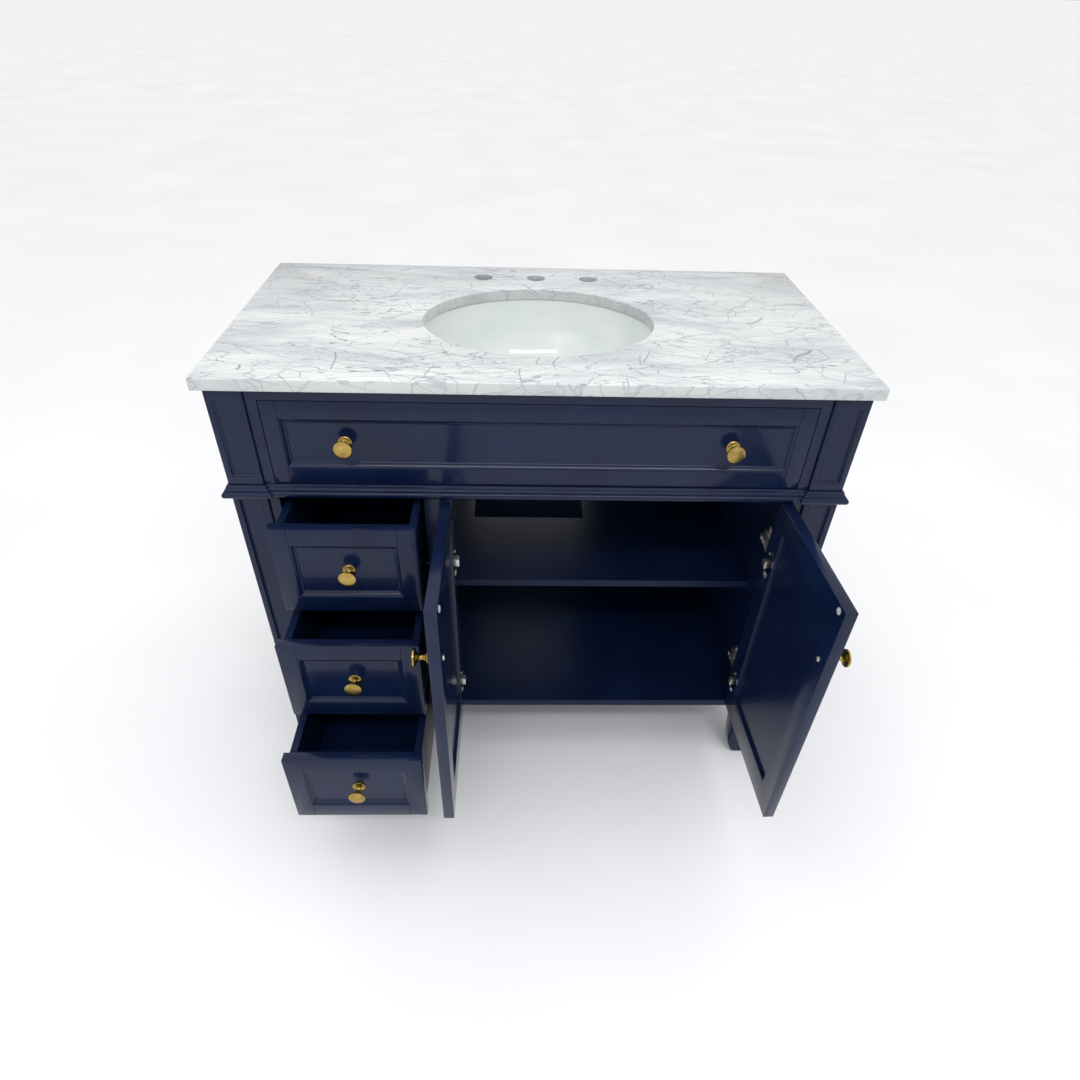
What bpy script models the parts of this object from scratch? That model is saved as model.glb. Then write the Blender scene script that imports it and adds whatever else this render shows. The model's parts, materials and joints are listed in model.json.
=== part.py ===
# Bathroom vanity: a painted cabinet with two doors, three drawers, a marble top and an undermount oval basin.
# Metres, +Z up. The front faces -Y, the floor is z = 0, and x = 0 is the middle of the cabinet.
# The doors stand open and the drawers are pulled out, each by its own value below.

import bpy
import bmesh
from math import cos, exp, pi, radians, sin
from mathutils import Matrix, Vector

fitGap = 0.0003  # between neighbouring pieces

# stone top
totalHeight = 0.853
topWidth = 1.016
topDepth = 0.5588
topThick = 0.018
topEdge = 0.0015
sideOverhang = 0.0125
frontOverhang = 0.012
faucetBack = 0.067
faucetSpacing = 0.1016
faucetRadius = 0.0175

# basin
ovalHalfX = 0.1964
ovalFrontMargin = 0.1013
ovalRearMargin = 0.1369
basinDepth = 0.148
basinWall = 0.009
basinReveal = 0.003
basinFlange = 0.022
basinFlangeThick = 0.013
basinFillet = 0.002
basinRoundness = 0.55
drainRadius = 0.0225

# face frame and pilasters
pilasterWidth = 0.056
pilasterStep = 0.005
frameThick = 0.0195
frameStile = 0.073
drawerBay = 0.2335
centreStile = 0.0255
topRail = 0.020
pilasterMargin = 0.0095
pilasterRecess = 0.0042
recessSlope = 0.004
recessTopMargin = 0.020
recessBottomMargin = 0.025
lowerRecessTop = 0.0065
lowerRecessRise = 0.013

# heights
apronHeight = 0.1607
waistHeight = 0.0215
waistReach = 0.0113
waistLap = 0.001
waistRearSet = 0.002
frontClear = 0.0013
bottomHeight = 0.162
bottomClear = 0.003
bottomSet = 0.0002
shelfRise = 0.250

# boards
boardThick = 0.015
linerThick = 0.012
linerSet = 0.001
backInset = 0.0185
stretcherDepth = 0.015
stretcherHeight = 0.018

# feet
legTaper = 0.016
footFlare = 0.014
footFlareHeight = 0.0175
archFoot = 0.040
archRise = 0.098
archRadius = 0.110

# shelf notch and back opening
shelfSetback = 0.0875
notchFromFront = 0.2181
notchWidth = 0.236
notchCentre = -0.0075
backOpenWidth = 0.280
backOpenRise = 0.010  # sill above the shelf
backOpenDrop = 0.020  # head below the waist

# fronts
frontThick = 0.0186
doorGap = 0.0025
doorRail = 0.042
doorBottomRail = 0.050
doorBackRecess = 0.005
drawerGap = 0.004
drawerSideGap = 0.002
drawerStileGap = 0.003
lowerDrawerDrop = 0.0078  # how much lower the bottom drawer front is than the others
drawerRail = 0.030
apronRail = 0.029
apronStile = 0.0245
apronGap = 0.001
mouldWidth = 0.009
mouldDepth = 0.0065
mouldStep = 0.0022

# how far each piece stands open
pullTop = 0.097
pullMiddle = 0.180
pullBottom = 0.278
leftDoorOpen = 90.4
rightDoorOpen = 92.0

# drawer boxes and their slides
boxInsetLeft = 0.005
boxInsetRight = 0.003
boxWall = 0.012
boxRearClear = 0.073
boxTopDrop = 0.014
boxRise = 0.012
boxFloorRise = 0.026
boxFloor = 0.006
railWidth = 0.020
railRise = 0.0135
railFront = 0.006
railSpare = 0.030
runnerFront = 0.003
runnerSpare = 0.010
runnerRise = 0.0095
runnerThick = 0.002
runnerFlange = 0.0015
runnerTall = 0.0355
slideClear = 0.003

# hinges
pivotInset = 0.002
hingeFromTop = 0.1162
hingeFromBottom = 0.076
cupFromEdge = 0.0055
cupRadius = 0.0170
cupDepth = 0.0104
cupLipWidth = 0.0014
cupPlate = 0.0016
cupShell = 0.0014
wingLength = 0.0095
wingHalf = 0.0062
plateFront = 0.037
plateLength = 0.040
plateThick = 0.0025
plateHalf = 0.0085
flangeStart = 0.012
flangeLength = 0.010
flangeHalf = 0.0250
saddleHeight = 0.0065
saddleHalf = 0.0065
saddleStart = 0.004
saddleEnd = 0.006
armEnd = 0.010
armLow = 0.0055
armHigh = 0.0145
armHalf = 0.0055
armClear = 0.0035

# knobs and small trim
knobReach = 0.0255
knobRadius = 0.014
knobBase = 0.011
apronKnobInset = 0.1195
drawerKnobShift = 0.00175
doorKnobDrop = 0.1062
screwRadius = 0.0042
bumperRadius = 0.0048
bumperDrop = 0.0095
bumperShift = 0.004

# sizes that follow
topUnder = totalHeight - topThick
caseTop = topUnder - fitGap
caseHalf = topWidth / 2 - sideOverhang
pilasterInner = caseHalf - pilasterWidth
openHalf = caseHalf - frameStile
stileLeft = -openHalf + drawerBay
stileRight = stileLeft + centreStile
waistTop = caseTop - apronHeight
waistBottom = waistTop - waistHeight
openTop = waistBottom + waistLap
frontTop = waistBottom - frontClear
frontBottom = bottomHeight + bottomClear
shelfTop = bottomHeight + shelfRise
caseDepth = topDepth - frontOverhang - pilasterStep
rearY = (caseDepth + pullBottom + knobReach - mouldDepth + fitGap) / 2
pilasterY = rearY - topDepth + frontOverhang
frameY = pilasterY + pilasterStep
frameRear = frameY + frameThick
insideFront = frameRear + fitGap
backY = rearY - backInset
insideRear = backY - fitGap
insideHalf = caseHalf - boardThick - fitGap
wallX = openHalf + linerSet
partitionRight = stileRight - linerSet
partitionLeft = partitionRight - boardThick
ovalHalfY = (topDepth - ovalFrontMargin - ovalRearMargin) / 2
ovalY = rearY - ovalRearMargin - ovalHalfY
upperDrawerHeight = (frontTop - frontBottom - 2 * drawerGap + lowerDrawerDrop) / 3
lowerDrawerHeight = upperDrawerHeight - lowerDrawerDrop
doorWidth = (openHalf - stileRight - 3 * doorGap) / 2
cupInset = cupRadius + cupFromEdge
cupLip = cupRadius + cupLipWidth
wingReach = cupRadius + wingLength
drawerLeft = -openHalf + drawerSideGap
drawerRight = stileLeft - drawerStileGap
boxDepth = insideRear - frameY - frontThick - boxRearClear

navy = ((0.012, 0.020, 0.060), 0.35, 0.0)
marble = ((0.80, 0.80, 0.79), 0.15, 0.0)
china = ((0.85, 0.86, 0.84), 0.08, 0.0)
brass = ((0.60, 0.47, 0.22), 0.25, 1.0)
nickel = ((0.70, 0.68, 0.64), 0.25, 1.0)
zinc = ((0.62, 0.63, 0.64), 0.30, 1.0)
rubber = ((0.80, 0.80, 0.80), 0.20, 0.0)

for obj in list(bpy.data.objects):
    bpy.data.objects.remove(obj, do_unlink=True)
vanity = bpy.data.collections.new("vanity")
cutters = bpy.data.collections.new("cutters")
for coll in (vanity, cutters):
    bpy.context.scene.collection.children.link(coll)
cutters.hide_render = True


# ---- shared modelling steps ----

def addPart(name, data, look, parent=None):
    color, rough, metal = look
    mat = bpy.data.materials.new(name)
    mat.use_nodes = True
    shader = mat.node_tree.nodes["Principled BSDF"]
    shader.inputs["Base Color"].default_value = (*color, 1.0)
    shader.inputs["Roughness"].default_value = rough
    shader.inputs["Metallic"].default_value = metal
    data.materials.append(mat)
    obj = bpy.data.objects.new(name, data)
    vanity.objects.link(obj)
    obj.parent = parent
    return obj


def addCutter(name, data, parent=None):
    obj = bpy.data.objects.new(name, data)
    cutters.objects.link(obj)
    obj.parent = parent
    obj.hide_render = True
    obj.display_type = "WIRE"
    return obj


def boolean(obj, other, operation="DIFFERENCE"):
    mod = obj.modifiers.new(other.name, "BOOLEAN")
    mod.operation = operation
    mod.object = other


def bevelEdges(obj, width):
    mod = obj.modifiers.new("edges", "BEVEL")
    mod.width = width
    mod.segments = 1
    mod.angle_limit = radians(40)


def boxMesh(name, low, high):
    low, high = Vector(low), Vector(high)
    bm = bmesh.new()
    place = Matrix.Translation((low + high) / 2) @ Matrix.Diagonal((*(high - low), 1))
    bmesh.ops.create_cube(bm, size=1, matrix=place)
    return closeMesh(bm, name)


def cylinderMesh(name, radius, low, high, sides):
    bm = bmesh.new()
    place = Matrix.Translation((0, 0, (low + high) / 2))
    bmesh.ops.create_cone(bm, cap_ends=True, segments=sides, radius1=radius, radius2=radius,
                          depth=high - low, matrix=place)
    return closeMesh(bm, name)


def closeMesh(bm, name):
    mesh = bpy.data.meshes.new(name)
    bm.to_mesh(mesh)
    bm.free()
    return mesh


def turnedPart(name, profile, sides, look, parent=None):
    # profile: (radius, height) points, up the inside and down the outside
    mesh = bpy.data.meshes.new(name)
    edges = [(i, i + 1) for i in range(len(profile) - 1)]
    mesh.from_pydata([(r, 0, h) for r, h in profile], edges, [])
    obj = addPart(name, mesh, look, parent)
    mod = obj.modifiers.new("turn", "SCREW")
    mod.steps = sides
    mod.render_steps = sides
    mod.use_merge_vertices = True
    mod.merge_threshold = 0.00001
    return obj


def outlineCurve(name, outlines, thick):
    curve = bpy.data.curves.new(name, "CURVE")
    curve.dimensions = "2D"
    curve.fill_mode = "BOTH"
    curve.extrude = thick / 2
    for outline in outlines:
        spline = curve.splines.new("POLY")
        spline.points.add(len(outline) - 1)
        for point, (u, v) in zip(spline.points, outline):
            point.co = (u, v, 0, 1)
        spline.use_cyclic_u = True
    return curve


def addBoard(name, outlines, plane, low, high, look=navy):
    # outlines in the front (x, z), side (y, z) or flat (x, y) plane, solid from low to high across it
    obj = addPart(name, outlineCurve(name, outlines, high - low), look)
    middle = (low + high) / 2
    if plane == "front":
        obj.location.y = middle
        obj.rotation_euler.x = pi / 2
    elif plane == "side":
        obj.location.x = middle
        obj.rotation_euler = (pi / 2, 0, pi / 2)
    else:
        obj.location.z = middle
    return obj


def curveToMesh(obj):
    # welded mesh object in place of a curve object, so that it can be cut
    bpy.context.view_layer.update()
    graph = bpy.context.evaluated_depsgraph_get()
    mesh = bpy.data.meshes.new_from_object(obj.evaluated_get(graph))
    bm = bmesh.new()
    bm.from_mesh(mesh)
    bmesh.ops.remove_doubles(bm, verts=bm.verts, dist=0.000001)
    bm.to_mesh(mesh)
    bm.free()
    name, matrix = obj.name, obj.matrix_world.copy()
    bpy.data.objects.remove(obj, do_unlink=True)
    solid = bpy.data.objects.new(name, mesh)
    vanity.objects.link(solid)
    solid.matrix_world = matrix
    return solid


def sinkFace(bm, direction, opening, steps):
    # insets the flat face that looks along direction, then moves it back step by step
    # opening: left, right, low, high; each step: distance inside the opening, y of the face
    left, right, low, high = opening
    face = max(bm.faces, key=lambda f: f.calc_center_median().y * direction)
    for inside, y in steps:
        bmesh.ops.inset_individual(bm, faces=[face], thickness=0.0001)
        for vert in face.verts:
            x = left + inside if vert.co.x < (left + right) / 2 else right - inside
            z = low + inside if vert.co.z < (low + high) / 2 else high - inside
            vert.co = (x, y, z)


def framedMesh(name, size, thick, margins, backDepth=0.0):
    # frame-and-panel front, face at y = 0, with a moulding inside the frame
    # size: left, right, low, high; margins: left, right, low, high width of the frame
    left, right, low, high = size
    opening = (left + margins[0], right - margins[1], low + margins[2], high - margins[3])
    bm = bmesh.new()
    middle = Vector(((left + right) / 2, thick / 2, (low + high) / 2))
    place = Matrix.Translation(middle) @ Matrix.Diagonal((right - left, thick, high - low, 1))
    bmesh.ops.create_cube(bm, size=1, matrix=place)
    mould = ((0, 0), (0.0004, mouldStep), (0.45 * mouldWidth, mouldStep + 0.0008), (mouldWidth, mouldDepth))
    sinkFace(bm, -1, opening, mould)
    if backDepth:
        sinkFace(bm, 1, opening, ((0, thick), (0.0008, thick - backDepth)))
    return closeMesh(bm, name)


def ramp(a, b, count):
    return [a + (b - a) * i / (count - 1) for i in range(count)]


# ---- stone top and basin ----

def makeTop():
    low = (-topWidth / 2, rearY - topDepth, topUnder)
    high = (topWidth / 2, rearY, totalHeight)
    obj = addPart("countertop", boxMesh("countertop", low, high), marble)
    past = 0.01
    oval = addCutter("cut_oval", cylinderMesh("cut_oval", ovalHalfX, topUnder - past, totalHeight + past, 56))
    oval.location.y = ovalY
    oval.scale.y = ovalHalfY / ovalHalfX
    boolean(obj, oval)
    for i in (-1, 0, 1):
        name = "cut_faucet_%d" % (i + 1)
        hole = addCutter(name, cylinderMesh(name, faucetRadius, topUnder - past, totalHeight + past, 20))
        hole.location = (i * faucetSpacing, rearY - faucetBack, 0)
        boolean(obj, hole)
    bevelEdges(obj, topEdge)


def makeBasin():
    rim = ovalHalfX + basinReveal
    inner = []
    for t in ramp(pi / 2, 0, 9):
        radius = rim * max(cos(t), 0.0) ** basinRoundness if t < pi / 2 else 0.0
        inner.append((radius, -sin(t) * (basinDepth - basinWall)))
    outer = []
    for t in ramp(pi / 12, pi / 2, 7):
        radius = (rim + basinWall) * max(cos(t), 0.0) ** basinRoundness if t < pi / 2 else 0.0
        outer.append((radius, -sin(t) * basinDepth))
    flange = [(rim + basinFlange, 0), (rim + basinFlange, -basinFlangeThick),
              (rim + basinWall, -basinFlangeThick - basinFillet)]
    obj = turnedPart("basin", inner + flange + outer, 40, china)
    obj.location = (0, ovalY, topUnder - fitGap)
    obj.scale.y = ovalHalfY / ovalHalfX
    drain = addCutter("cut_drain", cylinderMesh("cut_drain", drainRadius, -basinDepth - 0.02, -0.1, 24))
    drain.location = obj.location
    boolean(obj, drain)


# ---- carcass ----

def legEdge(z):
    # inner edge of a front leg at a height, from the middle of the cabinet
    return openHalf + legTaper * (1 - z / (bottomHeight - boardThick)) + footFlare * exp(-z / footFlareHeight)


def legPoints(low, high):
    return [(legEdge(z), z) for z in ramp(high, low, 9)]


def mirrored(points):
    return [(-x, z) for x, z in reversed(points)]


def makeFrame():
    edge = pilasterInner - fitGap
    tip = max(z for z in ramp(0, bottomHeight, 200) if legEdge(z) >= edge)
    leg = legPoints(tip, bottomHeight - boardThick - 0.001)[:-1] + [(edge, tip)]
    ledge = bottomHeight + fitGap
    outline = [(-edge, caseTop)]
    outline += mirrored(leg)
    outline += [(-openHalf, openTop), (stileLeft, openTop), (stileLeft, ledge), (stileRight, ledge)]
    outline += [(stileRight, openTop), (openHalf, openTop)]
    outline += leg
    outline += [(edge, caseTop)]
    low, high = waistTop - 0.0005, caseTop - topRail
    apron = [(-openHalf, low), (openHalf, low), (openHalf, high), (-openHalf, high)]
    addBoard("face_frame", [outline, apron], "front", frameY, frameRear)


def pilasterCutter(name, x0, x1, low, high):
    size = (x0 + pilasterMargin, x1 - pilasterMargin, low, high)
    near, far = pilasterY - 0.002, pilasterY + pilasterRecess
    bm = bmesh.new()
    middle = Vector(((size[0] + size[1]) / 2, (near + far) / 2, (low + high) / 2))
    place = Matrix.Translation(middle) @ Matrix.Diagonal((size[1] - size[0], far - near, high - low, 1))
    bmesh.ops.create_cube(bm, size=1, matrix=place)
    for vert in bm.verts:
        if vert.co.y > middle.y:
            vert.co.x -= recessSlope if vert.co.x > middle.x else -recessSlope
            vert.co.z -= recessSlope if vert.co.z > middle.z else -recessSlope
    return addCutter(name, closeMesh(bm, name))


def makePilasters(side, word):
    x0, x1 = sorted((side * pilasterInner, side * caseHalf))
    split = (waistTop + waistBottom) / 2
    name = "pilaster_upper_" + word
    upper = addPart(name, boxMesh(name, (x0, pilasterY, split + fitGap), (x1, frameRear, caseTop)), navy)
    low, high = split + recessBottomMargin, caseTop - recessTopMargin
    boolean(upper, pilasterCutter("cut_" + name, x0, x1, low, high))
    foot = [(x, z) for x, z in legPoints(0, bottomHeight - boardThick) if x > pilasterInner]
    edge = [(caseHalf, split), (pilasterInner, split)] + foot + [(caseHalf, 0)]
    outline = [(side * x, z) for x, z in edge]
    name = "pilaster_lower_" + word
    lower = curveToMesh(addBoard(name, [outline], "front", pilasterY, frameRear))
    low, high = bottomHeight + lowerRecessRise, waistBottom - lowerRecessTop
    boolean(lower, pilasterCutter("cut_" + name, x0, x1, low, high))


def waistSection():
    # reach and drop of the moulding: a fillet, a cove, a second fillet and a round nose
    r, h = waistReach, waistHeight
    cove = [((0.30 + 0.30 * (1 - cos(t))) * r, (0.08 + 0.30 * sin(t)) * h) for t in ramp(0, pi / 2, 4)]
    nose = [((0.60 + 0.40 * sin(t)) * r, (0.70 - 0.25 * cos(t)) * h) for t in ramp(0, pi / 2, 4)]
    under = [((0.50 + 0.50 * cos(t)) * r, (0.70 + 0.30 * sin(t)) * h) for t in ramp(pi / 6, pi / 2, 3)]
    return [(0, 0), (0.22 * r, 0), *cove, *nose, *under, (0, h)]


def makeWaist():
    # one moulding mitred round the sides, the pilasters and the face frame between them
    side, inner = caseHalf + fitGap, pilasterInner - fitGap
    near, middle, rear = pilasterY - fitGap, frameY - fitGap, rearY - waistRearSet
    half = [((inner, middle), (-1, -1)), ((inner, near), (-1, -1)),
            ((side, near), (1, -1)), ((side, rear), (1, 0))]
    stations = [((-x, y), (-dx, dy)) for (x, y), (dx, dy) in reversed(half)] + half
    bm = bmesh.new()
    rings = []
    for (x, y), (dx, dy) in stations:
        ring = [(x + dx * reach, y + dy * reach, waistTop - drop) for reach, drop in waistSection()]
        rings.append([bm.verts.new(point) for point in ring])
    bm.faces.new(rings[0])
    bm.faces.new(rings[-1])
    for one, two in zip(rings, rings[1:]):
        for i in range(len(one)):
            bm.faces.new((one[i - 1], one[i], two[i], two[i - 1]))
    bmesh.ops.recalc_face_normals(bm, faces=bm.faces)
    addPart("waist_moulding", closeMesh(bm, "waist_moulding"), navy)


def makeSide(side, word):
    near, far = sorted((side * caseHalf, side * (caseHalf - boardThick)))
    front, rear = insideFront, rearY - fitGap
    arch = []
    for t in ramp(0, pi / 2, 7):
        arch.append((archFoot + archRadius * (1 - cos(t)), archRise * sin(t)))
    outline = [(front, caseTop), (front, 0)]
    outline += [(front + y, z) for y, z in arch]
    outline += [(rear - y, z) for y, z in reversed(arch)]
    outline += [(rear, 0), (rear, caseTop)]
    addBoard("side_panel_" + word, [outline], "side", near, far)


def makeInside():
    edge, front = openHalf - fitGap, frameY + bottomSet
    rightHalf = [(edge, front), (edge, insideFront), (insideHalf, insideFront), (insideHalf, insideRear)]
    outline = rightHalf + [(-x, y) for x, y in reversed(rightHalf)]
    addBoard("bottom_panel", [outline], "flat", bottomHeight - boardThick, bottomHeight)
    ledge = bottomHeight + fitGap
    for side, word in ((-1, "left"), (1, "right")):
        near, far = sorted((side * wallX, side * (wallX + linerThick)))
        name = "inner_wall_" + word
        addPart(name, boxMesh(name, (near, insideFront, ledge), (far, insideRear, caseTop)), navy)
    low, high = (partitionLeft, insideFront, ledge), (partitionRight, insideRear, openTop)
    addPart("partition", boxMesh("partition", low, high), navy)
    low = (-wallX + fitGap, insideFront + fitGap, caseTop - stretcherHeight)
    high = (wallX - fitGap, insideFront + fitGap + stretcherDepth, caseTop)
    addPart("front_stretcher", boxMesh("front_stretcher", low, high), navy)


def makeShelf():
    front = frameY + shelfSetback
    low = (partitionRight + fitGap, front, shelfTop - boardThick)
    high = (wallX - fitGap, insideRear, shelfTop)
    obj = addPart("shelf", boxMesh("shelf", low, high), navy)
    low = (notchCentre - notchWidth / 2, front + notchFromFront, shelfTop - 2 * boardThick)
    high = (notchCentre + notchWidth / 2, insideRear + boardThick, shelfTop + boardThick)
    boolean(obj, addCutter("shelf_notch", boxMesh("shelf_notch", low, high)))


def makeBack():
    low, high = bottomHeight - boardThick, caseTop
    panel = [(-insideHalf, low), (insideHalf, low), (insideHalf, high), (-insideHalf, high)]
    left, right = notchCentre - backOpenWidth / 2, notchCentre + backOpenWidth / 2
    sill = shelfTop + backOpenRise
    head = waistBottom - backOpenDrop
    hole = [(left, sill), (right, sill), (right, head), (left, head)]
    addBoard("back_panel", [panel, hole], "front", backY, backY + linerThick)


def makeApron():
    half = openHalf - apronGap
    low, high = waistTop + fitGap, caseTop - topRail - apronGap
    margins = (apronStile, apronStile, apronRail, apronRail)
    mesh = framedMesh("false_front", (-half, half, low, high), frontThick, margins)
    obj = addPart("false_front", mesh, navy)
    obj.location.y = frameY
    for side, word in ((-1, "left"), (1, "right")):
        where = (side * (openHalf - apronKnobInset), frameY + mouldDepth - fitGap, (low + high) / 2)
        makeKnob("knob_false_" + word, where)


# ---- knobs and fastenings ----

def makeKnob(name, where, parent=None):
    k = knobReach
    flare = [(0.46 * knobRadius, k - 0.0075), (knobRadius - 0.0012, k - 0.0052), (knobRadius, k - 0.0036)]
    stem = [(0.36 * knobBase, 0.0145), (0.36 * knobBase, 0.0085), (0.46 * knobBase, 0.0050)]
    base = [(0.80 * knobBase, 0.0026), (knobBase, 0.0016), (knobBase, 0), (0, 0)]
    crown = [(0, k), (0.62 * knobRadius, k - 0.0004), (knobRadius - 0.0008, k - 0.0018)]
    obj = turnedPart(name, crown + flare[::-1] + stem + base, 18, brass, parent)
    obj.location = where
    obj.rotation_euler.x = pi / 2


def makeButton(name, radius, height, look, where, parent):
    profile = [(0, height), (0.7 * radius, height - 0.0004), (radius, 0.5 * height), (radius, 0), (0, 0)]
    obj = turnedPart(name, profile, 14, look, parent)
    obj.location = where
    obj.rotation_euler.x = -pi / 2


# ---- doors and hinges ----

def makeDoor(word, side, openAngle):
    # side is -1 when hinged on its left, 1 on its right
    # the door is drawn closed in the frame of its pivot, which is then turned
    hingeX = openHalf - doorGap if side > 0 else stileRight + doorGap
    pivot = bpy.data.objects.new("pivot_" + word, None)
    vanity.objects.link(pivot)
    pivot.location = (hingeX - side * pivotInset, frameY + pivotInset, 0)
    pivot.rotation_euler.z = radians(openAngle) * side
    edge = side * pivotInset
    left, right = sorted((edge, edge - side * doorWidth))
    margins = (doorRail, doorRail, doorBottomRail, doorRail)
    face = (left, right, frontBottom, frontTop)
    mesh = framedMesh("door_" + word, face, frontThick, margins, doorBackRecess)
    leaf = addPart("door_" + word, mesh, navy, pivot)
    leaf.location.y = -pivotInset
    inner = frontThick - pivotInset
    freeX = edge - side * (doorWidth - doorRail / 2)
    knobZ = frontTop - doorKnobDrop
    makeKnob("knob_door_" + word, (freeX, -pivotInset - fitGap, knobZ), pivot)
    makeButton("screw_" + word, screwRadius, 0.0024, zinc, (freeX, inner + fitGap, knobZ), pivot)
    where = (freeX - side * bumperShift, inner + fitGap, frontTop - bumperDrop)
    makeButton("bumper_" + word, bumperRadius, 0.0028, rubber, where, pivot)
    for level, z in (("upper", frontTop - hingeFromTop), ("lower", frontBottom + hingeFromBottom)):
        makeCup("%s_%s" % (word, level), leaf, (edge - side * cupInset, inner, z), pivot)
        makeHingeMount("%s_%s" % (word, level), side, z)


def makeCup(tag, leaf, where, pivot):
    bore = cylinderMesh("cut_cup_" + tag, cupRadius, -cupDepth - 2 * fitGap, 0.01, 20)
    cutter = addCutter("cut_cup_" + tag, bore, pivot)
    cutter.location = where
    cutter.rotation_euler.x = -pi / 2
    boolean(leaf, cutter)
    r = cupRadius - fitGap
    profile = [(0, cupShell - cupDepth), (r - cupShell, cupShell - cupDepth), (r - cupShell, cupPlate),
               (cupLip, cupPlate), (cupLip, fitGap), (r, fitGap), (r, -cupDepth), (0, -cupDepth)]
    cup = turnedPart("hinge_cup_" + tag, profile, 20, nickel, pivot)
    cup.location = where
    cup.rotation_euler.x = -pi / 2
    for word, low, high in (("upper", r - cupShell / 2, wingReach), ("lower", -wingReach, cupShell / 2 - r)):
        name = "join_%s_%s" % (tag, word)
        a, b = (-wingHalf, fitGap + 0.0001, low), (wingHalf, cupPlate - 0.0001, high)
        wing = addCutter(name, boxMesh(name, a, b), pivot)
        wing.location = where
        boolean(cup, wing, "UNION")


def makeHingeMount(tag, side, z):
    # plate screwed to the wall, its raised saddle and flange, and the arm clamped on it
    face = (wallX if side > 0 else -partitionRight) - fitGap
    front = frameY + plateFront
    name = "hinge_mount_" + tag
    rear = front + plateLength
    flange = front + flangeStart
    pieces = ((0, plateThick, front, rear, plateHalf),
              (0, saddleHeight, front + saddleStart, rear - saddleEnd, saddleHalf),
              (0, plateThick, flange, flange + flangeLength, flangeHalf),
              (armLow, armHigh, frameY + frontThick + armClear, rear - armEnd, armHalf))
    obj = None
    for i, (near, far, y0, y1, half) in enumerate(pieces):
        x0, x1 = sorted((side * (face - near), side * (face - far)))
        mesh = boxMesh("%s_%d" % (name, i), (x0, y0, z - half), (x1, y1, z + half))
        if obj is None:
            obj = addPart(name, mesh, nickel)
        else:
            boolean(obj, addCutter("join_%s_%d" % (name, i), mesh), "UNION")


# ---- drawers ----

def makeDrawer(word, low, high, pull):
    slider = bpy.data.objects.new("slide_" + word, None)
    vanity.objects.link(slider)
    slider.location = (0, frameY - pull, low)
    height = high - low
    margins = (drawerRail,) * 4
    name = "drawer_front_" + word
    addPart(name, framedMesh(name, (drawerLeft, drawerRight, 0, height), frontThick, margins), navy, slider)
    knobX = (drawerLeft + drawerRight) / 2 + drawerKnobShift
    makeKnob("knob_drawer_" + word, (knobX, mouldDepth - fitGap, height / 2), slider)
    left, right = drawerLeft + boxInsetLeft, drawerRight - boxInsetRight
    front = frontThick + fitGap
    rear = front + boxDepth
    rim = height - boxTopDrop
    name = "drawer_box_" + word
    box = addPart(name, boxMesh(name, (left, front, boxRise), (right, rear, rim)), navy, slider)
    w, past = boxWall, 0.01
    inside = ((left + w, front + w, boxFloorRise + boxFloor), (right - w, rear - w, rim + past))
    under = ((left + w, front - past, boxRise - past), (right - w, rear + past, boxFloorRise))
    for tag, (a, b) in (("inside", inside), ("under", under)):
        cut = "cut_%s_%s" % (tag, word)
        boolean(box, addCutter(cut, boxMesh(cut, a, b), slider))
    for tag, x in (("left", left + w + slideClear), ("right", right - w - slideClear - railWidth)):
        name = "slide_rail_%s_%s" % (word, tag)
        a = (x, front + railFront, railRise)
        b = (x + railWidth, rear - railSpare, boxFloorRise - fitGap)
        addPart(name, boxMesh(name, a, b), zinc, slider)
    makeRunner(word, "left", low, -wallX + fitGap, 1, left + w + slideClear + railWidth)
    makeRunner(word, "right", low, partitionLeft - fitGap, -1, right - w - slideClear - railWidth)


def makeRunner(word, tag, low, wall, side, tip):
    # angle fixed to the wall of the drawer bay, under the moving rail
    base, flange = low + runnerRise, wall + side * runnerFlange
    outline = [(wall, base), (tip, base), (tip, base + runnerThick), (flange, base + runnerThick),
               (flange, base + runnerTall), (wall, base + runnerTall)]
    start = insideFront + runnerFront
    name = "runner_%s_%s" % (word, tag)
    addBoard(name, [outline], "front", start, start + boxDepth - runnerSpare, zinc)


makeTop()
makeBasin()
makeFrame()
makeWaist()
for side, word in ((-1, "left"), (1, "right")):
    makePilasters(side, word)
    makeSide(side, word)
makeInside()
makeShelf()
makeBack()
makeApron()
makeDoor("left", -1, leftDoorOpen)
makeDoor("right", 1, rightDoorOpen)
frontHigh = frontTop
for word, height, pull in (("top", upperDrawerHeight, pullTop), ("middle", upperDrawerHeight, pullMiddle),
                           ("bottom", lowerDrawerHeight, pullBottom)):
    makeDrawer(word, frontHigh - height, frontHigh, pull)
    frontHigh -= height + drawerGap
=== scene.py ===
import json
from math import cos, exp, pi, radians, sin

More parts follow.
